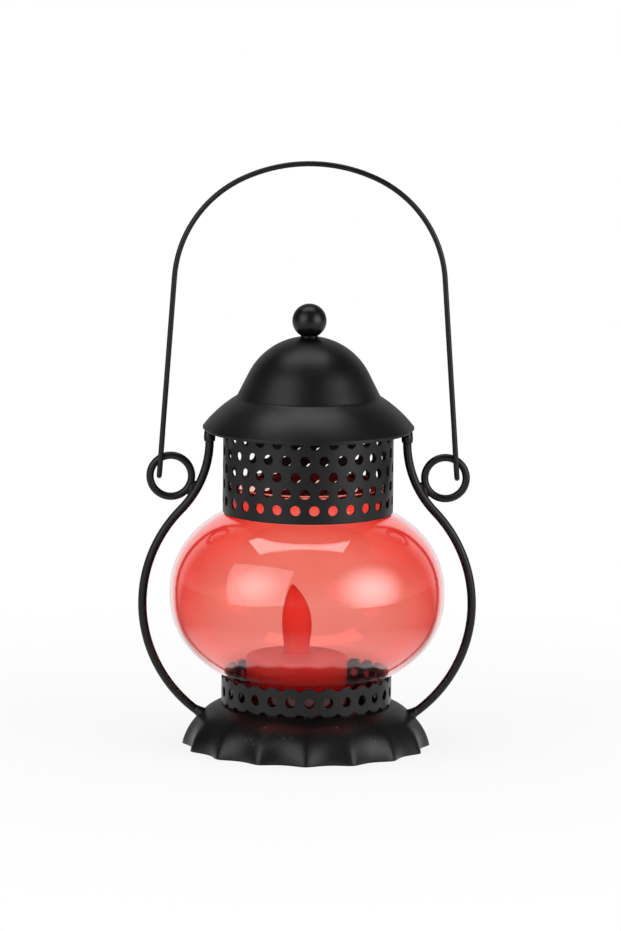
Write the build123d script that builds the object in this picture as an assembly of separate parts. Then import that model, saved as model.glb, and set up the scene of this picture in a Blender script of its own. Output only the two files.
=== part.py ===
from build123d import *
import os
from math import asin, atan2, cos, hypot, pi, radians, sin, sqrt, tan

os.makedirs("parts", exist_ok=True)

# Hanging lantern with a red glass globe and a battery tea light, in millimetres.
# The origin is the middle of the base rim, +Z is up and the front faces -Y.

# Stock and clearances
SHEET = 0.7
ARM_WIRE = 3.2
EYE_WIRE = 2.8
BAIL_WIRE = 2.0
SEAT = 0.05
RUN = 0.3

# Perforated galleries
GALLERY_R = 31.6
HOLES = 28
HOLE_D = 3.8
LOWER_TURN = 2.2
UPPER_FIRST = 5.0
UPPER_ROWS = 5
UPPER_TURN = 4.4
GALLERY_LIP = 2.0

# Base
DECK_Z = 15.8
DECK_EDGE = 0.4
RIM_R = 46.1
SKIRT_ARC = 21.3
FLUTES = 16
FLUTE_DEPTH = 2.6
FLUTE_FADE = 1.5

# Globe
GLOBE_R = 51.2
GLOBE_HALF = 36.5
GLOBE_POWER = 2.2
GLOBE_Z = 57.15
GLASS = 1.2
NECK_GAP = 1.1
NECK_RISE = 10.4
NECK_FILLET = 1.5

# Ring under the lid
RING_W = 6.6
RING_TOP = 120.3
RING_H = 1.9
RING_ROUND = 1.0

# Arms, ferrules, eyes and weld beads
ARM_STRAIGHT = 4.4
BOW_X = 61.2
BOW_Z = 53.0
BOW_ARC = 50.5
FERRULE_D = 4.4
FERRULE_H = 4.8
EYE_ARC = 7.7
EYE_TURN = 209.9
EYE_BEAD = 2.0
FOOT_BEAD = 2.5

# Lid, from the top of the ring
HOOD_ARC = 25.0
HOOD_RISE = 8.0
FLANK_TURN = 63.4
BRIM_RISE = 10.5
BRIM_DROP = 11.2
BRIM_BULGE = 0.75
CREASE = 2.5
LID_LIP = 0.4

# Finial
BALL_D = 12.7
COLLAR_D = 6.4
COLLAR_H = 0.4
SCREW_D = 3.0
SCREW_HEAD_D = 5.6
SCREW_HEAD_H = 2.2
SCREW_BITE = 6.0
WASHER_D = 7.0
WASHER_H = 0.6

# Bail
BAIL_TOP = 217.9
CROWN_ARC = 58.0
CROWN_TURN = 25.0
SPLAY = 4.0
HOOK_OUT = 3.8
HOOK_PLAY = 0.9
HOOK_DROP = 3.2
TAIL = 12.0

# Tea light, its flame and what is in it
LIGHT_X = -3.7
CUP_R = 18.9
CUP_H = 17.6
CUP_WALL = 1.2
CUP_ROUND = 1.6
FOOT = 0.5
SOCKET_H = 0.7
SOCKET_WALL = 0.9
FLAME_R = 4.7
FLAME_H = 26.8
FLAME_LEAN = 1.7
FLAME_WALL = 1.0
FLANGE_H = 1.0
FLANGE_W = 1.1
LED_R = 2.5
LED_H = 7.6
LED_FLANGE = 0.4
LEAD = 0.5
LEAD_STEP = 1.27
CELL_R = 10.0
CELL_H = 3.2
CELL_INSET = 1.15
STRIP = 0.3
STRIP_W = 3.0
POST_R = 4.0
KNOB_OUT = 5.0
KNOB_W = 2.0
KNOB_L = 3.0
KNOB_TRAVEL = 2.5
KNOB_HEAD = 1.0


# Height of the globe's outside or inside above its middle, at a given radius
def globe_rise(radius, inset=0):
    share = (radius / (GLOBE_R - inset)) ** GLOBE_POWER
    return (GLOBE_HALF - inset) * (1 - share) ** (1 / GLOBE_POWER)


# Sizes that follow from the ones above
PITCH = 360 / HOLES
ROW = 2 * pi * GALLERY_R / HOLES * sin(radians(60))
DECK_R = GALLERY_R + DECK_EDGE
LOWER_TOP = GLOBE_Z - globe_rise(GALLERY_R - SHEET) - RUN
UPPER_LOW = GLOBE_Z + globe_rise(GALLERY_R - SHEET) + RUN
NECK_R = GALLERY_R - SHEET - NECK_GAP
NECK_TOP = UPPER_LOW + NECK_RISE
RING_R = GALLERY_R + RING_W
RING_LOW = RING_TOP - RING_H
ARM_TOP_X = RING_R - ARM_WIRE / 2
ARM_TOP_Z = RING_LOW - ARM_STRAIGHT
BRIM_TOP = RING_TOP + BRIM_RISE
LID_LOW = BRIM_TOP - BRIM_DROP - LID_LIP
LID_R = RING_R + RUN + SHEET
HOOD_Z = RING_TOP + HOOD_RISE
HOOD_TOP = HOOD_Z + HOOD_ARC


def at(r, z):
    return (r, 0, z)


def tube(outer, inner, low, high):
    wall = Cylinder(outer, high - low) - Cylinder(inner, 3 * (high - low))
    return Pos(0, 0, (low + high) / 2) * wall


def block(x0, x1, y0, y1, z0, z1):
    middle = Pos((x0 + x1) / 2, (y0 + y1) / 2, (z0 + z1) / 2)
    return middle * Box(x1 - x0, y1 - y0, z1 - z0)


def turned(edges):
    return revolve(make_face(edges), Axis.Z)


def wire_along(edges, diameter):
    path = Wire(edges)
    section = Plane(path @ 0, z_dir=path % 0) * Circle(diameter / 2)
    return sweep(section, path)


def save(name, shape):
    export_step(shape, f"parts/{name}.step")


# Fluted base: every level is a ring of hollow panels between sharp ridges
def arc_centre(start, end, radius):
    dx, dz = end[0] - start[0], end[1] - start[1]
    chord = hypot(dx, dz)
    reach = sqrt(radius**2 - chord**2 / 4) / chord
    return ((start[0] + end[0]) / 2 + reach * dz, (start[1] + end[1]) / 2 - reach * dx)


SKIRT_X, SKIRT_Z = arc_centre((DECK_R, DECK_Z), (RIM_R, 0), SKIRT_ARC)


def skirt_level(arc, turn):
    ridge = SKIRT_X + arc * cos(turn)
    z = SKIRT_Z + arc * sin(turn)
    depth = FLUTE_DEPTH * max(0, 1 - z / DECK_Z) ** FLUTE_FADE

    def point(step):
        angle = 2 * pi * step / FLUTES
        r = ridge - depth * abs(sin(pi * step))
        return (r * cos(angle), r * sin(angle), z)

    panels = [Spline(*[point(k + q / 4) for q in range(5)]) for k in range(FLUTES)]
    return make_face(panels)


def skirt_body(inset):
    arc = SKIRT_ARC - inset
    high = asin((DECK_Z - inset - SKIRT_Z) / arc)
    low = asin((-2 * SHEET - SKIRT_Z) / arc)
    levels = [skirt_level(arc, high + (low - high) * k / 6) for k in range(7)]
    body = loft(levels)
    return body - block(-2 * RIM_R, 2 * RIM_R, -2 * RIM_R, 2 * RIM_R, -RIM_R, 0)


skirt_outside = skirt_body(0)
save("base_skirt", skirt_outside - skirt_body(SHEET))


# Galleries: strips with staggered rows of round holes, rolled into rings
def hole_row(z, turn):
    drill = Rot(0, 90, 0) * Cylinder(HOLE_D / 2, 6 * SHEET)
    placed = Pos(GALLERY_R - SHEET / 2, 0, z) * drill
    return [Rot(0, 0, turn - 90 + k * PITCH) * placed for k in range(HOLES)]


middle_row = (DECK_Z + LOWER_TOP) / 2
cuts = hole_row(middle_row, LOWER_TURN)
cuts += hole_row(middle_row - ROW, LOWER_TURN + PITCH / 2)
cuts += hole_row(middle_row + ROW, LOWER_TURN + PITCH / 2)
save("lower_gallery", tube(GALLERY_R, GALLERY_R - SHEET, DECK_Z, LOWER_TOP) - cuts)

cuts = []
for row in range(UPPER_ROWS):
    cuts += hole_row(UPPER_LOW + UPPER_FIRST + row * ROW, UPPER_TURN - PITCH / 2 * (row % 2))
collar = tube(GALLERY_R, GALLERY_R - SHEET, UPPER_LOW, RING_TOP + SHEET)
collar += tube(GALLERY_R + GALLERY_LIP, GALLERY_R - SHEET / 2, RING_TOP, RING_TOP + SHEET)
save("upper_gallery", collar - cuts)


# Globe: a flattened round belly with a short neck at each end
def globe_body(inset):
    r, neck = GLOBE_R - inset, NECK_R - inset
    top = globe_rise(neck, inset)
    widths = [neck + (r - neck) * sin(pi / 10 * k) for k in range(6)]
    upper = [at(x, GLOBE_Z + globe_rise(x, inset)) for x in widths]
    lower = [at(x, GLOBE_Z - globe_rise(x, inset)) for x in widths]
    belly = Spline(*lower, *reversed(upper[:-1]))
    foot = Polyline(at(0, DECK_Z), at(neck, DECK_Z), lower[0])
    mouth = Polyline(upper[0], at(neck, NECK_TOP), at(0, NECK_TOP), at(0, DECK_Z))
    body = turned([foot, belly, mouth])
    corners = [e for e in body.edges() if abs(abs(e.center().Z - GLOBE_Z) - top) < SEAT]
    return fillet(corners, NECK_FILLET)


save("globe", globe_body(0) - globe_body(GLASS))


# Arms: two arcs that run into each other, and a straight end up in the ring
bow_x = BOW_X - BOW_ARC
across, up = ARM_TOP_X - bow_x, ARM_TOP_Z - BOW_Z
top_arc = (across**2 + up**2 - BOW_ARC**2) / (2 * (BOW_ARC - across))
top_x = ARM_TOP_X + top_arc
lean = atan2(up, top_x - bow_x)
foot_turn = -asin((BOW_Z - DECK_Z / 2) / BOW_ARC)


def on_bow(turn):
    return at(bow_x + BOW_ARC * cos(turn), BOW_Z + BOW_ARC * sin(turn))


def on_top_arc(turn):
    return at(top_x + top_arc * cos(turn), ARM_TOP_Z + top_arc * sin(turn))


arm = wire_along(
    [
        Line(at(ARM_TOP_X, LID_LOW), at(ARM_TOP_X, ARM_TOP_Z)),
        ThreePointArc(at(ARM_TOP_X, ARM_TOP_Z), on_top_arc(pi + lean / 2), on_top_arc(pi + lean)),
        ThreePointArc(on_bow(lean), on_bow((lean + foot_turn) / 2), on_bow(foot_turn)),
    ],
    ARM_WIRE,
)
arm -= skirt_outside

ferrule_wall = tube(FERRULE_D / 2, ARM_WIRE / 2 + SEAT, RING_LOW - FERRULE_H, RING_LOW)
ferrule = Pos(ARM_TOP_X, 0, 0) * ferrule_wall - arm

# Eye rings stand in the hollow of the arms
eye_reach = top_arc - ARM_WIRE / 2 - SEAT - EYE_WIRE / 2 - EYE_ARC
eye_x = top_x + eye_reach * cos(radians(EYE_TURN))
eye_z = ARM_TOP_Z + eye_reach * sin(radians(EYE_TURN))
eye = Pos(eye_x, 0, eye_z) * Rot(90, 0, 0) * Torus(EYE_ARC, EYE_WIRE / 2)

# Weld beads fill the corners where the wires meet
touch = top_arc - ARM_WIRE / 2
eye_joint = Pos(top_x + touch * cos(radians(EYE_TURN)), 0, ARM_TOP_Z + touch * sin(radians(EYE_TURN)))
eye_weld = eye_joint * Sphere(EYE_BEAD) - arm - eye
arm_foot = arm.faces().sort_by(Axis.Z)[0].center()
foot_weld = Pos(arm_foot.X, 0, arm_foot.Z) * Sphere(FOOT_BEAD) - arm - skirt_outside

sided = {"arm": arm, "ferrule": ferrule, "eye": eye, "eye_weld": eye_weld, "foot_weld": foot_weld}
for name, piece in sided.items():
    save(f"{name}_right", piece)
    save(f"{name}_left", mirror(piece, Plane.YZ))

# Ring under the lid: a flat web with its rim turned down and notched for the arms
inside = GALLERY_R + SEAT
web = RING_TOP - SHEET
ring_edges = Polyline(
    at(RING_R, RING_TOP - RING_ROUND),
    at(RING_R, RING_LOW),
    at(RING_R - SHEET, RING_LOW),
    at(RING_R - SHEET, web),
    at(inside, web),
    at(inside, RING_TOP),
    at(RING_R - RING_ROUND, RING_TOP),
)
slant = RING_ROUND * (1 - sqrt(0.5))
shoulder = ThreePointArc(
    at(RING_R - RING_ROUND, RING_TOP),
    at(RING_R - slant, RING_TOP - slant),
    at(RING_R, RING_TOP - RING_ROUND),
)
ring = turned([ring_edges, shoulder])
notch = Cylinder(ARM_WIRE / 2 + SEAT, 2 * (LID_LOW - RING_LOW + SEAT))
for side in (-1, 1):
    ring -= Pos(side * ARM_TOP_X, 0, RING_LOW) * notch
save("top_ring", ring)

# Lid: a dome, a steep flank and a rounded brim with a short upright lip
flank = radians(FLANK_TURN)
dome_end = (HOOD_ARC * sin(flank), HOOD_Z + HOOD_ARC * cos(flank))
dome_middle = (HOOD_ARC * sin(flank / 2), HOOD_Z + HOOD_ARC * cos(flank / 2))
brim_start = (dome_end[0] + (dome_end[1] - BRIM_TOP) / tan(flank), BRIM_TOP)
brim_end = (LID_R, BRIM_TOP - BRIM_DROP)


def hood_face(low):
    half = [
        ThreePointArc((0, HOOD_TOP), dome_middle, dome_end),
        Line(dome_end, brim_start),
        SagittaArc(brim_start, brim_end, BRIM_BULGE),
        Polyline(brim_end, (LID_R, low), (0, low)),
    ]
    face = make_face(half + [Line((0, low), (0, HOOD_TOP))])
    face += mirror(face, Plane.YZ)
    creases = [v for v in face.vertices() if abs(v.Y - BRIM_TOP) < SEAT]
    return fillet(creases, CREASE)


def hood_body(face):
    half = face & Pos(LID_R, HOOD_Z) * Rectangle(2 * LID_R, 4 * HOOD_ARC)
    return revolve(Plane.XZ * half, Axis.Z)


hood = hood_body(hood_face(LID_LOW)) - hood_body(offset(hood_face(LID_LOW - SHEET), -SHEET))
hood -= Pos(0, 0, HOOD_TOP) * Cylinder(SCREW_D / 2 + SEAT, 4 * SHEET)
save("lid_hood", hood)

# Finial: ball on a collar, drawn down on the hood by a screw from inside
ball_low = HOOD_TOP + COLLAR_H
ball_z = ball_low + sqrt(BALL_D**2 - COLLAR_D**2) / 2
ball = Pos(0, 0, ball_z) * Sphere(BALL_D / 2) - block(-BALL_D, BALL_D, -BALL_D, BALL_D, 0, ball_low)
ball -= Pos(0, 0, ball_low) * Cylinder(SCREW_D / 2 + SEAT, 2 * (SCREW_BITE + SEAT))
save("finial_ball", ball)
dome = Pos(0, 0, HOOD_Z) * Sphere(HOOD_ARC)
collar_low = HOOD_TOP - COLLAR_H
save("finial_collar", tube(COLLAR_D / 2, SCREW_D / 2 + SEAT, collar_low, ball_low) - dome)
washer_top = HOOD_Z + sqrt((HOOD_ARC - SHEET) ** 2 - WASHER_D**2 / 4)
washer_low = washer_top - WASHER_H
save("finial_washer", tube(WASHER_D / 2, SCREW_D / 2 + SEAT, washer_low, washer_top))
head_low = washer_low - SCREW_HEAD_H
head = Pos(0, 0, (head_low + washer_low) / 2) * Cylinder(SCREW_HEAD_D / 2, SCREW_HEAD_H)
head = fillet(head.edges().sort_by(Axis.Z)[0], SCREW_HEAD_H / 3)
shank_h = ball_low + SCREW_BITE - washer_low
head += Pos(0, 0, washer_low + shank_h / 2) * Cylinder(SCREW_D / 2, shank_h)
save("finial_screw", head)

# Bail: one wire, flat crown, tighter shoulders, splayed legs and a hook at each end
crown, splay = radians(CROWN_TURN), radians(SPLAY)
pivot_x = eye_x + HOOK_OUT
pivot_z = eye_z + sqrt(EYE_ARC**2 - HOOK_OUT**2)
wires = (EYE_WIRE + BAIL_WIRE) / 2
hook_half = wires / cos(asin(HOOK_OUT / EYE_ARC)) + HOOK_PLAY
front, back = -wires - RUN, 2 * hook_half - wires - RUN
crown_x, crown_z = CROWN_ARC * sin(crown), BAIL_TOP - CROWN_ARC * (1 - cos(crown))
leg_line = pivot_x + tan(splay) * pivot_z
spread = cos(splay) - sin(crown) + tan(splay) * (sin(splay) - cos(crown))
bend = (leg_line - crown_x - tan(splay) * crown_z) / spread
bend_x, bend_z = crown_x - bend * sin(crown), crown_z - bend * cos(crown)


def on_bend(turn):
    return (bend_x + bend * cos(turn), front, bend_z + bend * sin(turn))


def on_leg(y, below):
    return (pivot_x + below * sin(splay), y, pivot_z - below * cos(splay))


def flip(point):
    return (-point[0], point[1], point[2])


middle_turn = (splay + pi / 2 - crown) / 2
tail_end = on_leg(back, HOOK_DROP - TAIL)
hook_low = on_leg((front + back) / 2, HOOK_DROP + hook_half)
hook_stops = on_leg(back, HOOK_DROP), hook_low, on_leg(front, HOOK_DROP)
bend_stops = on_bend(splay), on_bend(middle_turn), on_bend(pi / 2 - crown)
right = [
    Line(tail_end, hook_stops[0]),
    ThreePointArc(*hook_stops),
    Line(hook_stops[2], bend_stops[0]),
    ThreePointArc(*bend_stops),
]
left = [
    ThreePointArc(*[flip(p) for p in reversed(bend_stops)]),
    Line(flip(bend_stops[0]), flip(hook_stops[2])),
    ThreePointArc(*[flip(p) for p in reversed(hook_stops)]),
    Line(flip(hook_stops[0]), flip(tail_end)),
]
crown_arc = ThreePointArc(bend_stops[2], (0, front, BAIL_TOP), flip(bend_stops[2]))
save("bail", wire_along(right + [crown_arc] + left, BAIL_WIRE))

# Tea light cup, with a raised socket for the flame
light = Pos(LIGHT_X, 0, DECK_Z)
bore = CUP_R - CUP_WALL
under = CUP_H - CUP_WALL
socket_r = FLAME_R + SEAT + SOCKET_WALL
cup = Pos(0, 0, CUP_H / 2) * Cylinder(CUP_R, CUP_H)
cup = fillet(cup.edges().group_by(Axis.Z)[-1], CUP_ROUND)
cup += tube(socket_r, FLAME_R - FLAME_WALL, under, CUP_H + SOCKET_H)
cup -= Pos(0, 0, under / 2) * Cylinder(bore, under)
cup -= Pos(0, 0, CUP_H) * Cylinder(FLAME_R + SEAT, 4 * CUP_WALL)
save("tealight_cup", light * cup)


# Flame: round at every level, fullest above half height, its tip bent to the left
def flame_shape(inset, low, high):
    rounds = [(0, 1.0), (0.2, 1.06), (0.5, 1.17), (0.7, 0.98), (0.88, 0.56), (1.0, 0.12)]
    span = high - low
    faces = []
    for share, width in rounds:
        swing = -FLAME_LEAN * (max(0, share - 0.4) / 0.6) ** 2
        radius = max(width * FLAME_R - inset, 0.1)
        faces.append(Pos(swing, 0, low + share * span) * Circle(radius))
    return loft(faces)


flame_top = CUP_H + FLAME_H
flame = flame_shape(0, CUP_H, flame_top)
flame += tube(FLAME_R, 0.1, under - FLANGE_H, CUP_H)
flame += tube(FLAME_R + FLANGE_W, 0.1, under - FLANGE_H, under)
flame -= flame_shape(FLAME_WALL, CUP_H, flame_top - 3 * FLAME_WALL)
flame -= Pos(0, 0, CUP_H) * Cylinder(FLAME_R - FLAME_WALL, 6 * CUP_WALL)
save("tealight_flame", light * flame)

# Floor: a disc with the well for the coin cell and a slot for the switch
floor_top = FOOT + CUP_WALL
cell_top = floor_top + CELL_H
well_r = CELL_R + RUN
well_out = well_r + CUP_WALL
well_top = cell_top + 2 * STRIP
tongue_z = floor_top + CELL_H / 2
half_strip = STRIP_W / 2
half_slot = half_strip + SEAT
cell_x = well_out + CELL_INSET + SEAT - bore
cell_at = Pos(cell_x, 0, 0)
knob_x = cell_x + well_out + KNOB_OUT
knob_side, knob_end = KNOB_W / 2 + RUN, KNOB_L / 2 + RUN

floor = Pos(0, 0, (FOOT + floor_top) / 2) * Cylinder(bore - SEAT, CUP_WALL)
floor += cell_at * tube(well_out, well_r, FOOT, well_top)
floor -= cell_at * Cylinder(well_r, 4 * CUP_H)
floor -= block(knob_x - knob_side, knob_x + knob_side, -knob_end, knob_end + KNOB_TRAVEL, 0, CUP_H)
floor -= block(cell_x + CELL_R, cell_x + 2 * CELL_R, -half_slot, half_slot, tongue_z, CUP_H)
save("tealight_floor", light * floor)

# Door under the cell, with a slot for a coin, and the cell on it
door = cell_at * Pos(0, 0, (FOOT + floor_top) / 2) * Cylinder(well_r - SEAT, CUP_WALL)
door -= cell_at * block(-CELL_R / 2, CELL_R / 2, -CUP_WALL / 2, CUP_WALL / 2, 0, FOOT + CUP_WALL / 2)
save("tealight_door", light * door)
can_top = cell_top - STRIP
cell = cell_at * Pos(0, 0, (floor_top + can_top) / 2) * Cylinder(CELL_R, can_top - floor_top)
cell += cell_at * Pos(0, 0, (can_top + cell_top) / 2) * Cylinder(CELL_R - CUP_WALL, STRIP)
save("tealight_battery", light * cell)

# Post: a cover on the well, a tube up to the flame and a lug that keeps the switch down
post_top = under - FLANGE_H - SEAT
cover_top = well_top + FLANGE_H
lead_r = LEAD_STEP + 2 * LEAD
leg_x = cell_x + well_out + SEAT
lug_half = KNOB_L / 2 + KNOB_HEAD
post = cell_at * Pos(0, 0, (well_top + cover_top) / 2) * Cylinder(well_out, FLANGE_H)
post += block(0, knob_x + KNOB_W, -lug_half, lug_half, well_top, cover_top)
post += tube(POST_R, lead_r, well_top, post_top)
post -= Cylinder(lead_r, 4 * CUP_H)
post -= block(0, leg_x + STRIP + SEAT, -half_slot, half_slot, cover_top, cover_top + STRIP + SEAT)
post -= block(leg_x - SEAT, leg_x + STRIP + SEAT, -half_slot, half_slot, 0, CUP_H)
save("tealight_led_post", light * post)

# Contact strips: one on the cell, one from its edge up to the other lead
strip_end = LEAD_STEP - LEAD
minus = block(cell_x - CELL_R / 2, -strip_end, -half_strip, half_strip, cell_top, cell_top + STRIP)
save("tealight_contact_minus", light * minus)
plus_top = cover_top + STRIP
plus = block(strip_end, leg_x + STRIP, -half_strip, half_strip, cover_top, plus_top)
plus += block(leg_x, leg_x + STRIP, -half_strip, half_strip, tongue_z, plus_top)
plus += block(cell_x + CELL_R + SEAT, leg_x + STRIP, -half_strip, half_strip, tongue_z, tongue_z + STRIP)
save("tealight_contact_plus", light * plus)

# Lamp on the post, with a lead down to each strip
led = Pos(0, 0, post_top + (LED_H - LED_R) / 2) * Cylinder(LED_R, LED_H - LED_R)
led += Pos(0, 0, post_top + LED_H - LED_R) * Sphere(LED_R)
led += tube(LED_R + LED_FLANGE, LED_R / 2, post_top, post_top + 2 * LEAD)
for x, end in ((-LEAD_STEP, cell_top + STRIP), (LEAD_STEP, plus_top)):
    led += block(x - LEAD / 2, x + LEAD / 2, -LEAD / 2, LEAD / 2, end, post_top + LEAD)
save("tealight_led", light * led)

# Switch: a head on the floor and a stem down through the slot
head_side, head_end = KNOB_W / 2 + KNOB_HEAD, KNOB_L / 2 + KNOB_HEAD
knob = block(knob_x - head_side, knob_x + head_side, -head_end, head_end, floor_top, well_top - SEAT)
knob += block(knob_x - KNOB_W / 2, knob_x + KNOB_W / 2, -KNOB_L / 2, KNOB_L / 2, FOOT / 2, floor_top)
save("tealight_switch", light * knob)
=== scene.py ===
import math

import bmesh
import bpy
from mathutils import Matrix, Vector, noise


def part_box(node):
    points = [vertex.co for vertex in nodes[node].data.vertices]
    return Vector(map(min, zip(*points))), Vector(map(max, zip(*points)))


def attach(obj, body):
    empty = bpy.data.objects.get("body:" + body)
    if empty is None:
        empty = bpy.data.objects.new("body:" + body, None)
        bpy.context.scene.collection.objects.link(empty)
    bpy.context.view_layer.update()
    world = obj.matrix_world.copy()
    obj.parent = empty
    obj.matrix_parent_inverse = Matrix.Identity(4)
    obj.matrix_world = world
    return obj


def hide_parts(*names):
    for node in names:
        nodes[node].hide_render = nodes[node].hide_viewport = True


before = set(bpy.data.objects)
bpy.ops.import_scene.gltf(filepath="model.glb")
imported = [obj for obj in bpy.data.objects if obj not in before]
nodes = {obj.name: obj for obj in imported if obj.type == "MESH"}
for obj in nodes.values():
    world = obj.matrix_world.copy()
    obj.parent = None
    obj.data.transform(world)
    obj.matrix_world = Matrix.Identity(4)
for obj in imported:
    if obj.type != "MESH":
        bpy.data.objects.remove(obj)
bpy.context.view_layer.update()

# Globe: belly, glass wall and the necks inside the galleries, in metres
GLOBE_R = 0.0512
GLOBE_HALF = 0.0365
GLOBE_POWER = 2.2
GLOBE_Z = 0.05715
GLASS = 0.0012
NECK_R = 0.0298
NECK_FOOT = 0.0158
NECK_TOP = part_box("globe")[1].z
NECK_FILLET = 0.0015
RIM_ROUND = 0.0005
BELLY_STEPS = 12
GLOBE_TURNS = 144

# Lacquer inside the globe: heights where it pales, where painted shade darkens it towards the foot, and
# where it was wiped off
COAT_LOW, COAT_HIGH, COAT_WAVER = 0.048, 0.084, 0.02
NECK_SHADE_LOW, NECK_SHADE_HIGH = 0.0265, 0.0305
GALLERY_SHADE_LOW, GALLERY_SHADE_HIGH = 0.0235, 0.0262
BARE_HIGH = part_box("upper_gallery")[0].z - 0.0006
BARE_LOW = BARE_HIGH - 0.0006

# Base skirt: deck, arc of the wall and the flutes pressed into it
SHEET = 0.0007
DECK_Z = 0.0158
DECK_R = 0.032
RIM_R = 0.0461
SKIRT_ARC = 0.0213
SKIRT_STEPS = 14
SKIRT_EDGE = 0.0002
FLUTES = 16
FLUTE_TURNS = 40
FLUTE_DEPTH = 0.0026
FLUTE_FADE = 1.5
RIDGE_ROUND = 0.25
MIDDLE_R = 0.01

# Ferrules and welds on the arms
FERRULE_IN_LOW, FERRULE_IN_HIGH = 0.0002, 0.0003
FERRULE_SWELL_Z = 0.0016
FERRULE_ROUND = 0.0007
FERRULE_TURNS = 48
BEAD_HALF = (0.0016, 0.00142, 0.0031)
BEAD_RIPPLE, BEAD_WAVES, BEAD_SHIFT = 0.07, 1.9, 900
FILLET_LINE = [
    (0.0025, -0.0016),
    (0.00225, -0.0004),
    (0.00193, 0.0004),
    (0.00173, 0.0012),
    (0.00155, 0.0022),
]
FILLET_TURNS = 40
FILLET_RIPPLE, FILLET_WAVES, FILLET_SHIFT = 0.05, 1100, 700
BOW_IN = 0.0107
BOW_Z = 0.053

# Studio: metres, watts, degrees and shares of white
FLOOR_HALF = 12
FLOOR_SHADE_R, FLOOR_SHADE_OUT, FLOOR_SHADE = 0.05, 0.3, 0.85
SOFT_NEAR_R, SOFT_FAR_R, SOFT_FAR = 0.075, 0.22, 0.25
CRISP_NEAR_R, CRISP_FAR_R, CRISP_FAR = 0.05, 0.15, 0.1
BACK_FROM, BACK_FULL = 0.5, 0.85
WALL_TOP, WALL_LEVEL = 0.35, 0.2
SOFT_SHARE = 0.3
ROOM_LEVEL = 0.1
LAMP_AIM = Vector((0, 0, 0.08))
LAMP_ROLL = 8
# Name, shape, size, azimuth and elevation, distance, power, fade (radii, levels), hung level
LAMPS = [
    ("soft_box_left", "RECTANGLE", (1.1, 1.1), (-46, 23), 1.1, 14.0, (0.0, 0.6, 1.0, 0.35), False),
    ("umbrella_right", "DISK", (1.5, 1.5), (58, 16), 1.05, 27.0, (0.0, 0.75, 1.0, 0.0), False),
    ("soft_box_overhead", "RECTANGLE", (1.05, 0.5), (-134, 83), 1.1, 5.2, None, True),
]
LENS, SENSOR, CLIP_END = 313, 36, 50
CAMERA_AIM = Vector((0.00085, 0, 0.105))
CAMERA_RISE, CAMERA_ROLL, CAMERA_AWAY = 9, 0.5, 3.0
WHITE = (1, 1, 1, 1)


def linear(code):
    parts = [int(code[i : i + 2], 16) / 255 for i in (1, 3, 5)]
    return [c / 12.92 if c <= 0.04045 else ((c + 0.055) / 1.055) ** 2.4 for c in parts] + [1.0]


def add(tree, kind, settings=None, **inputs):
    node = tree.nodes.new("ShaderNode" + kind)
    for name, value in (settings or {}).items():
        setattr(node, name, value)
    for name, value in inputs.items():
        key = int(name[1:]) if name[0] == "_" else name.replace("_", " ")
        if isinstance(value, bpy.types.NodeSocket):
            tree.links.new(value, node.inputs[key])
        else:
            node.inputs[key].default_value = value
    return node


# A value taken from one range to another
def ramp(tree, value, low, high, start=0.0, end=1.0, smooth=False):
    kind = {"interpolation_type": "SMOOTHSTEP" if smooth else "LINEAR"}
    node = add(tree, "MapRange", kind, Value=value, From_Min=low, From_Max=high, To_Min=start, To_Max=end)
    return node.outputs["Result"]


def maths(tree, operation, one, two):
    return add(tree, "Math", {"operation": operation}, _0=one, _1=two).outputs["Value"]


def mixed(tree, share, one, two):
    return add(tree, "Mix", {"data_type": "RGBA"}, _0=share, _6=one, _7=two).outputs[2]


# Noise whose features have a real size in millimetres
def clouds(tree, place, size_mm, detail=2.0, rough=0.5):
    node = add(tree, "TexNoise", Vector=place, Scale=1000 / size_mm, Detail=detail, Roughness=rough)
    return node.outputs["Fac"]


def finish_of(name):
    mat = bpy.data.materials.new(name)
    mat.use_nodes = True
    tree = mat.node_tree
    tree.nodes.clear()
    out = tree.nodes.new("ShaderNodeOutputMaterial")
    return mat, tree, out


def shell_of(tree, out, **inputs):
    shell = add(tree, "BsdfPrincipled", **inputs)
    tree.links.new(shell.outputs["BSDF"], out.inputs["Surface"])


# Matt black stove enamel on steel: a dull sheen, a fine grit, and pale dust on what faces up
def black_enamel(name, dull, bright, grit_mm, dust, edge_mm):
    mat, tree, out = finish_of(name)
    place = add(tree, "TexCoord").outputs["Object"]
    grit = clouds(tree, place, grit_mm, rough=0.6)
    cloud = clouds(tree, place, 14, detail=3.0, rough=0.55)
    sheen = ramp(tree, cloud, 0.3, 0.7, bright, dull)
    paint = mixed(tree, ramp(tree, cloud, 0.3, 0.7), linear("#060607"), linear("#0a090a"))
    # Dust grains are under 0.5 mm across, at most one to each cell of 2.4 mm
    grain = add(tree, "TexVoronoi", {"feature": "F1"}, Vector=place, Scale=1000 / 2.4, Randomness=1.0)
    near = ramp(tree, grain.outputs["Distance"], 0.05, 0.1, 1.0, 0.0)
    pick = add(tree, "SeparateColor", Color=grain.outputs["Color"]).outputs["Red"]
    some = maths(tree, "GREATER_THAN", pick, 1 - dust)
    turn = add(tree, "SeparateXYZ", Vector=add(tree, "NewGeometry").outputs["True Normal"]).outputs["Z"]
    upward = ramp(tree, turn, 0.15, 0.6)
    speck = maths(tree, "MULTIPLY", maths(tree, "MULTIPLY", near, some), upward)
    soft_edge = add(tree, "Bevel", {"samples": 4}, Radius=edge_mm / 1000).outputs["Normal"]
    bump = add(tree, "Bump", Strength=0.2, Distance=0.00004, Height=grit, Normal=soft_edge)
    shell_of(
        tree,
        out,
        Base_Color=mixed(tree, speck, paint, linear("#8d8780")),
        Roughness=sheen,
        IOR=1.5,
        Specular_IOR_Level=0.32,
        Normal=bump.outputs["Normal"],
    )
    return mat


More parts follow.
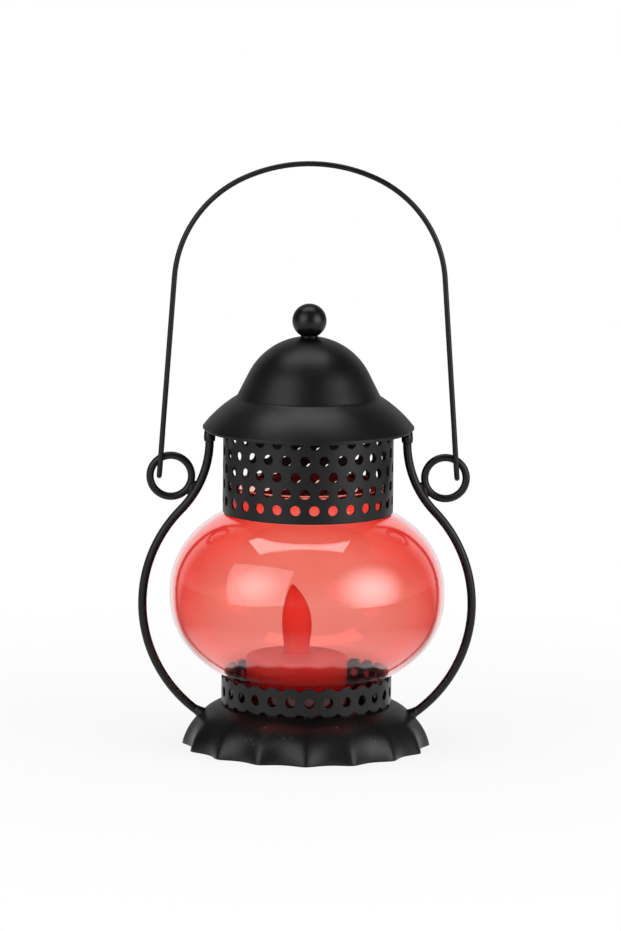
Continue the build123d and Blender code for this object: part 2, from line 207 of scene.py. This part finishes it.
# Blown soda-lime glass: clear to look through, and pink where the eye runs along the wall
def clear_glass():
    mat, tree, out = finish_of("blown_soda_lime_glass")
    side = add(tree, "LayerWeight", Blend=0.5).outputs["Facing"]
    tint = mixed(tree, ramp(tree, side, 0.3, 0.85), linear("#fff6f5"), linear("#ff9a9c"))
    shell_of(tree, out, Base_Color=tint, Roughness=0.0, IOR=1.5, Transmission_Weight=1.0)
    return mat


# Red transparent lacquer inside the glass: deeper where the eye meets it aslant, stronger towards the top,
# darkened by painted shade towards the foot, nearly black inside the lower gallery, and pale where it was
# wiped off the upper neck
def red_lacquer():
    mat, tree, out = finish_of("red_lacquer_inside_glass")
    place = add(tree, "TexCoord").outputs["Object"]
    cloud = clouds(tree, place, 16)
    height = add(tree, "SeparateXYZ", Vector=place).outputs["Z"]
    level = add(tree, "Math", {"operation": "MULTIPLY_ADD"}, _0=cloud, _1=COAT_WAVER, _2=height)
    upper = ramp(tree, level.outputs["Value"], COAT_LOW, COAT_HIGH, smooth=True)
    coat = mixed(tree, upper, linear("#ff968a"), linear("#ff7b6c"))
    side = add(tree, "LayerWeight", Blend=0.5).outputs["Facing"]
    much = ramp(tree, upper, 0.0, 1.0, 0.4, 1.0)
    slant = maths(tree, "MULTIPLY", ramp(tree, side, 0.08, 0.3), much)
    deep = mixed(tree, slant, coat, linear("#ff5544"))
    edge = maths(tree, "MULTIPLY", ramp(tree, side, 0.32, 0.68), much)
    rich = mixed(tree, edge, deep, linear("#ff1e14"))
    # Painted shade: the coat darkens down the neck to dark red, then to near black inside the lower gallery
    shade_depth = ramp(tree, height, GALLERY_SHADE_LOW, GALLERY_SHADE_HIGH)
    painted_shade = mixed(tree, shade_depth, linear("#34060a"), linear("#94080f"))
    shade_share = ramp(tree, height, NECK_SHADE_LOW, NECK_SHADE_HIGH, 1.0, 0.0)
    foot = mixed(tree, shade_share, rich, painted_shade)
    tint = mixed(tree, ramp(tree, height, BARE_LOW, BARE_HIGH), foot, linear("#ff9c90"))
    shell_of(tree, out, Base_Color=tint, Roughness=0.0, IOR=1.5, Transmission_Weight=0.97)
    return mat


# Moulded plastic: waxy, with a faint moulded grain
def moulded_plastic(name, colour, rough, glow):
    mat, tree, out = finish_of(name)
    place = add(tree, "TexCoord").outputs["Object"]
    sheen = ramp(tree, clouds(tree, place, 9), 0.0, 1.0, rough - 0.06, rough + 0.06)
    bump = add(tree, "Bump", Strength=0.2, Distance=0.00003, Height=clouds(tree, place, 0.8))
    shell_of(
        tree,
        out,
        Base_Color=linear(colour),
        Roughness=sheen,
        IOR=1.49,
        Subsurface_Weight=glow,
        Subsurface_Scale=0.002,
        Normal=bump.outputs["Normal"],
    )
    return mat


# Plated steel: bright, with an uneven shine
def plated_steel(name, colour, rough):
    mat, tree, out = finish_of(name)
    place = add(tree, "TexCoord").outputs["Object"]
    sheen = ramp(tree, clouds(tree, place, 1.5, detail=3.0), 0.0, 1.0, rough - 0.08, rough + 0.08)
    shell_of(tree, out, Base_Color=linear(colour), Metallic=1.0, Roughness=sheen)
    return mat


sheet_enamel = black_enamel("matt_black_enamel_on_sheet_steel", 0.4, 0.31, 0.7, 0.06, 0.5)
skirt_enamel = black_enamel("matt_black_enamel_on_pressed_skirt", 0.4, 0.31, 0.7, 0.5, 0.2)
wire_enamel = black_enamel("satin_black_enamel_on_steel_wire", 0.36, 0.28, 0.5, 0.02, 0.3)
cup_plastic = moulded_plastic("red_polypropylene", "#f06e68", 0.4, 0.1)
flame_plastic = moulded_plastic("amber_silicone_flame", "#f04a34", 0.45, 0.4)
switch_plastic = moulded_plastic("black_abs_switch", "#1b1b1c", 0.42, 0.0)
led_epoxy = moulded_plastic("warm_led_epoxy", "#e8d9a8", 0.15, 0.3)
zinc = plated_steel("zinc_plated_steel", "#b9bcc0", 0.32)
nickel = plated_steel("nickel_plated_spring_steel", "#c9c3b4", 0.28)
glass = clear_glass()
lacquer = red_lacquer()

FINISHES = {
    skirt_enamel: ["base_skirt"],
    sheet_enamel: ["lower_gallery", "upper_gallery", "top_ring", "lid_hood", "finial_collar"],
    wire_enamel: ["arm", "eye", "eye_weld", "foot_weld", "ferrule", "bail", "finial_ball"],
    glass: ["globe"],
    zinc: ["finial_washer", "finial_screw", "tealight_battery"],
    cup_plastic: ["tealight_cup", "tealight_floor", "tealight_led_post", "tealight_door"],
    flame_plastic: ["tealight_flame"],
    led_epoxy: ["tealight_led"],
    nickel: ["tealight_contact_plus", "tealight_contact_minus"],
    switch_plastic: ["tealight_switch"],
}
for finish, names in FINISHES.items():
    for name, obj in nodes.items():
        if name.replace("_left", "").replace("_right", "") in names:
            for place in obj.material_slots:
                place.material = finish


def piece(name, bm, finishes, body):
    mesh = bpy.data.meshes.new(name)
    bm.to_mesh(mesh)
    bm.free()
    for finish in finishes:
        mesh.materials.append(finish)
    obj = bpy.data.objects.new(name, mesh)
    bpy.context.scene.collection.objects.link(obj)
    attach(obj, body)
    return obj


# A profile of radius and height, as a chain of edges to be turned round the Z axis
def profile(bm, line, closed=False):
    verts = [bm.verts.new((r, 0, z)) for r, z in line]
    for one, two in zip(verts, verts[1:] + (verts[:1] if closed else [])):
        bm.edges.new((one, two))
    return verts


def round_corners(bm, corners, size, segments):
    bmesh.ops.bevel(
        bm, geom=corners, affect="VERTICES", offset=size, segments=segments, profile=0.5, material=-1
    )


def turn_round(bm, steps):
    bmesh.ops.spin(
        bm,
        geom=bm.verts[:] + bm.edges[:],
        cent=(0, 0, 0),
        axis=(0, 0, 1),
        angle=math.tau,
        steps=steps,
        use_merge=True,
    )
    bmesh.ops.remove_doubles(bm, verts=bm.verts[:], dist=1e-6)
    bmesh.ops.recalc_face_normals(bm, faces=bm.faces[:])
    for face in bm.faces:
        face.smooth = True


# Half the height of the globe's outside, or of its inside, at a radius
def belly_rise(radius, inset):
    share = (radius / (GLOBE_R - inset)) ** GLOBE_POWER
    return (GLOBE_HALF - inset) * max(0.0, 1 - share) ** (1 / GLOBE_POWER)


# Globe: one blown wall, clear outside and lacquered red inside
def glass_globe():
    line = []
    for inset, order in ((0.0, 1), (GLASS, -1)):
        neck, wide = NECK_R - inset, GLOBE_R - inset
        side = []
        for k in range(-BELLY_STEPS, BELLY_STEPS + 1):
            radius = neck + (wide - neck) * math.cos(math.pi / (2 * BELLY_STEPS) * k)
            side.append((radius, GLOBE_Z + math.copysign(belly_rise(radius, inset), k)))
        foot = [(neck, NECK_FOOT + RIM_ROUND * k) for k in (0, 1, 2)]
        mouth = [(neck, NECK_TOP - RIM_ROUND * k) for k in (2, 1, 0)]
        line += (foot + side + mouth)[::order]
    bm = bmesh.new()
    verts = profile(bm, line, closed=True)
    wall, lip = len(verts) // 2, len(foot)
    necks = [verts[i] for i in (lip, wall - 1 - lip, wall + lip, -1 - lip)]
    rims = [verts[i] for i in (0, wall - 1, wall, -1)]
    round_corners(bm, necks, NECK_FILLET, 5)
    round_corners(bm, rims, 0.9 * RIM_ROUND, 5)
    turn_round(bm, GLOBE_TURNS)
    for face in bm.faces:
        middle = face.calc_center_median()
        face.material_index = 1 if face.normal.x * middle.x + face.normal.y * middle.y < 0 else 0
    obj = piece("globe_glass", bm, [glass, lacquer], "frame")
    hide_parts("globe")


# Base skirt: one pressing, its arc-shaped wall drawn in between sixteen rounded ridges
def pressed_skirt():
    across, down = RIM_R - DECK_R, -DECK_Z
    chord = math.hypot(across, down)
    reach = math.sqrt(SKIRT_ARC**2 - chord**2 / 4) / chord
    centre_r, centre_z = (DECK_R + RIM_R) / 2 + reach * down, DECK_Z / 2 - reach * across
    line = []
    for inset, order in ((0.0, 1), (SHEET, -1)):
        arc = SKIRT_ARC - inset
        high, low = (math.asin((z - centre_z) / arc) for z in (DECK_Z - inset, 0.0))
        turns = [high + (low - high) * k / SKIRT_STEPS for k in range(SKIRT_STEPS + 1)]
        wall = [(centre_r + arc * math.cos(t), centre_z + arc * math.sin(t)) for t in turns]
        line += ([(0.0, DECK_Z - inset)] + wall)[::order]
    bm = bmesh.new()
    verts = profile(bm, line)
    rim = len(verts) // 2
    round_corners(bm, verts[rim - 1 : rim + 1], SKIRT_EDGE, 3)
    turn_round(bm, FLUTES * FLUTE_TURNS)
    deepest = math.hypot(1, RIDGE_ROUND) - RIDGE_ROUND
    for vert in bm.verts:
        flat = math.hypot(vert.co.x, vert.co.y)
        if flat > MIDDLE_R:
            wave = math.sin(math.atan2(vert.co.y, vert.co.x) * FLUTES / 2)
            drawn = (math.hypot(wave, RIDGE_ROUND) - RIDGE_ROUND) / deepest
            depth = FLUTE_DEPTH * max(0.0, 1 - vert.co.z / DECK_Z) ** FLUTE_FADE
            share = 1 - depth * drawn / flat
            vert.co.x *= share
            vert.co.y *= share
    obj = piece("base_skirt_pressing", bm, [skirt_enamel], "frame")
    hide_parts("base_skirt")


# Ferrule: the turned cap that joins an arm's end to the ring, its lower edge rounded
def ferrule(node):
    low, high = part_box(node)
    radius, middle = (high.y - low.y) / 2, (low + high) / 2
    line = [
        (0, low.z),
        (radius - FERRULE_IN_LOW, low.z),
        (radius, low.z + FERRULE_SWELL_Z),
        (radius - FERRULE_IN_HIGH, high.z),
        (0, high.z),
    ]
    bm = bmesh.new()
    verts = profile(bm, line)
    round_corners(bm, verts[1:3], FERRULE_ROUND, 5)
    turn_round(bm, FERRULE_TURNS)
    bmesh.ops.translate(bm, verts=bm.verts[:], vec=(middle.x, middle.y, 0))
    obj = piece(node + "_cap", bm, [wire_enamel], "frame")
    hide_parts(node)


# Eye weld: a long low bead in the corner between an eye and its arm
def eye_weld(node, eye):
    middle = sum(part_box(node), Vector()) / 2
    across = middle - sum(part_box(eye), Vector()) / 2
    bm = bmesh.new()
    bmesh.ops.create_icosphere(bm, subdivisions=4, radius=1.0)
    for vert in bm.verts:
        vert.co *= 1 + BEAD_RIPPLE * noise.noise(vert.co * BEAD_WAVES + middle * BEAD_SHIFT)
        vert.co = Vector([along * half for along, half in zip(vert.co, BEAD_HALF)])
    lean = Matrix.Rotation(math.atan2(-across.z, across.x), 3, "Y")
    bmesh.ops.rotate(bm, verts=bm.verts[:], cent=(0, 0, 0), matrix=lean)
    bmesh.ops.translate(bm, verts=bm.verts[:], vec=middle)
    for face in bm.faces:
        face.smooth = True
    obj = piece(node + "_bead", bm, [wire_enamel], "frame")
    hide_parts(node)


# Foot weld: a small hollow fillet round the arm where it meets the base
def foot_weld(node):
    middle = sum(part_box(node), Vector()) / 2
    side = math.copysign(1, middle.x)
    spoke = Vector((middle.x - side * BOW_IN, 0, middle.z - BOW_Z))
    rise = Vector((-side * spoke.z, 0, side * spoke.x)).normalized()
    bm = bmesh.new()
    profile(bm, FILLET_LINE)
    turn_round(bm, FILLET_TURNS)
    bmesh.ops.holes_fill(bm, edges=[e for e in bm.edges if e.is_boundary], sides=0)
    bmesh.ops.recalc_face_normals(bm, faces=bm.faces[:])
    for vert in bm.verts:
        vert.co += vert.co * FILLET_RIPPLE * noise.noise(vert.co * FILLET_WAVES + middle * FILLET_SHIFT)
    turned = rise.to_track_quat("Z", "Y").to_matrix()
    bmesh.ops.rotate(bm, verts=bm.verts[:], cent=(0, 0, 0), matrix=turned)
    bmesh.ops.translate(bm, verts=bm.verts[:], vec=middle)
    obj = piece(node + "_fillet", bm, [wire_enamel], "frame")
    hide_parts(node)


glass_globe()
pressed_skirt()
for hand in ("left", "right"):
    ferrule("ferrule_" + hand)
    eye_weld("eye_weld_" + hand, "eye_" + hand)
    foot_weld("foot_weld_" + hand)


# Rays that see the background as it is, rays that see it in any reflection, those of a sharp reflection,
# and how much of the backdrop each kind of reflection takes up
def background_rays(tree):
    rays = add(tree, "LightPath").outputs
    bounced = maths(tree, "MINIMUM", rays["Glossy Depth"], 1.0)
    straight = maths(tree, "SUBTRACT", rays["Is Transmission Ray"], bounced)
    plain = maths(tree, "MAXIMUM", rays["Is Camera Ray"], straight)
    gloss = maths(tree, "MAXIMUM", rays["Is Glossy Ray"], rays["Is Transmission Ray"])
    mirrored = maths(tree, "MULTIPLY", gloss, bounced)
    crisp = maths(tree, "MULTIPLY", mirrored, rays["Is Singular Ray"])
    share = ramp(tree, crisp, 0.0, 1.0, SOFT_SHARE, 1.0)
    return plain, mirrored, crisp, share


# Table: white to the eye with a soft shadow, and lit only near the part and behind it in reflections
def table():
    bm = bmesh.new()
    bmesh.ops.create_grid(bm, x_segments=1, y_segments=1, size=FLOOR_HALF)
    mesh = bpy.data.meshes.new("floor")
    bm.to_mesh(mesh)
    bm.free()
    mat, tree, out = finish_of("white_table_laminate")
    plain, mirrored, crisp, share = background_rays(tree)
    place = add(tree, "TexCoord").outputs["Object"]
    away = add(tree, "VectorMath", {"operation": "LENGTH"}, _0=place).outputs["Value"]
    depth = add(tree, "SeparateXYZ", Vector=place).outputs["Y"]
    sweep = ramp(tree, maths(tree, "DIVIDE", depth, away), BACK_FROM, BACK_FULL, smooth=True)
    near = ramp(tree, away, SOFT_NEAR_R, SOFT_FAR_R, 1.0, SOFT_FAR, smooth=True)
    lit = maths(tree, "MAXIMUM", near, maths(tree, "MULTIPLY", sweep, share))
    seen = maths(tree, "MAXIMUM", plain, maths(tree, "MULTIPLY", mirrored, lit))
    white = ramp(tree, away, FLOOR_SHADE_R, FLOOR_SHADE_OUT, FLOOR_SHADE, 1.0)
    cover = maths(tree, "MAXIMUM", maths(tree, "MULTIPLY", seen, white), crisp)
    front = maths(tree, "MAXIMUM", ramp(tree, away, CRISP_NEAR_R, CRISP_FAR_R, 1.0, CRISP_FAR), sweep)
    level = add(tree, "Mix", {"data_type": "FLOAT"}, _0=crisp, _2=1.0, _3=front).outputs[0]
    dull = add(tree, "BsdfDiffuse", Color=linear("#f2f2f2")).outputs["BSDF"]
    glow = add(tree, "Emission", Color=WHITE, Strength=level).outputs["Emission"]
    both = add(tree, "MixShader", _0=cover, _1=dull, _2=glow)
    tree.links.new(both.outputs["Shader"], out.inputs["Surface"])
    mesh.materials.append(mat)
    floor = bpy.data.objects.new("floor", mesh)
    bpy.context.scene.collection.objects.link(floor)


# Room: a white backdrop to the eye, and in reflections dim but for what lies behind the part
def room():
    world = bpy.data.worlds.new("studio")
    bpy.context.scene.world = world
    world.use_nodes = True
    tree = world.node_tree
    tree.nodes.clear()
    plain, mirrored, _, share = background_rays(tree)
    way = add(tree, "SeparateXYZ", Vector=add(tree, "TexCoord").outputs["Generated"]).outputs
    behind = ramp(tree, way["Y"], BACK_FROM, BACK_FULL, smooth=True)
    wall = ramp(tree, way["Z"], 0.0, WALL_TOP, WALL_LEVEL, 0.0, smooth=True)
    backdrop = maths(tree, "MULTIPLY", mirrored, maths(tree, "MAXIMUM", behind, wall))
    seen = maths(tree, "MAXIMUM", plain, maths(tree, "MULTIPLY", backdrop, share))
    level = ramp(tree, seen, 0.0, 1.0, ROOM_LEVEL, 1.0)
    shown = add(tree, "Background", Color=WHITE, Strength=level).outputs["Background"]
    tree.links.new(shown, tree.nodes.new("ShaderNodeOutputWorld").inputs["Surface"])


# The way from the part to a lamp or the camera, by azimuth from the front and elevation
def way_out(azimuth, elevation):
    a, e = math.radians(azimuth), math.radians(elevation)
    return Vector((math.sin(a) * math.cos(e), -math.cos(a) * math.cos(e), math.sin(e)))


def facing(away, roll):
    look = (-away).to_track_quat("-Z", "Y").to_matrix()
    return (look @ Matrix.Rotation(math.radians(roll), 3, "Z")).to_euler()


# A lamp that is brightest in its middle and fades outwards
def faded(lamp, inner, outer, full, rest):
    lamp.use_nodes = True
    tree = lamp.node_tree
    tree.nodes.clear()
    place = add(tree, "TexCoord").outputs["Object"]
    flat = add(tree, "VectorMath", {"operation": "MULTIPLY"}, _0=place, _1=(1, 1, 0)).outputs["Vector"]
    radius = add(tree, "VectorMath", {"operation": "LENGTH"}, _0=flat).outputs["Value"]
    fade = ramp(tree, radius, inner, outer, full, rest, smooth=True)
    glow = add(tree, "Emission", Color=WHITE, Strength=fade).outputs["Emission"]
    tree.links.new(glow, tree.nodes.new("ShaderNodeOutputLight").inputs["Surface"])


# Lamps: a soft box on the left, an umbrella on the right and a soft box overhead
def lamps():
    for name, shape, size, angles, distance, power, fade, level in LAMPS:
        lamp = bpy.data.lights.new(name, "AREA")
        lamp.shape = shape
        lamp.size, lamp.size_y = size
        lamp.energy = power
        if fade:
            faded(lamp, *fade)
        away = way_out(*angles)
        obj = bpy.data.objects.new(name, lamp)
        bpy.context.scene.collection.objects.link(obj)
        obj.location = LAMP_AIM + away * distance
        if not level:
            obj.rotation_euler = facing(away, LAMP_ROLL)


# Camera: a long lens a little above the part, as in the photo
def camera():
    lens = bpy.data.cameras.new("camera")
    lens.lens = LENS
    lens.sensor_width = SENSOR
    lens.clip_end = CLIP_END
    obj = bpy.data.objects.new("camera", lens)
    bpy.context.scene.collection.objects.link(obj)
    away = way_out(0, CAMERA_RISE)
    obj.location = CAMERA_AIM + away * CAMERA_AWAY
    obj.rotation_euler = facing(away, CAMERA_ROLL)
    bpy.context.scene.camera = obj


table()
room()
lamps()
camera()
bpy.context.scene.view_settings.view_transform = "Standard"
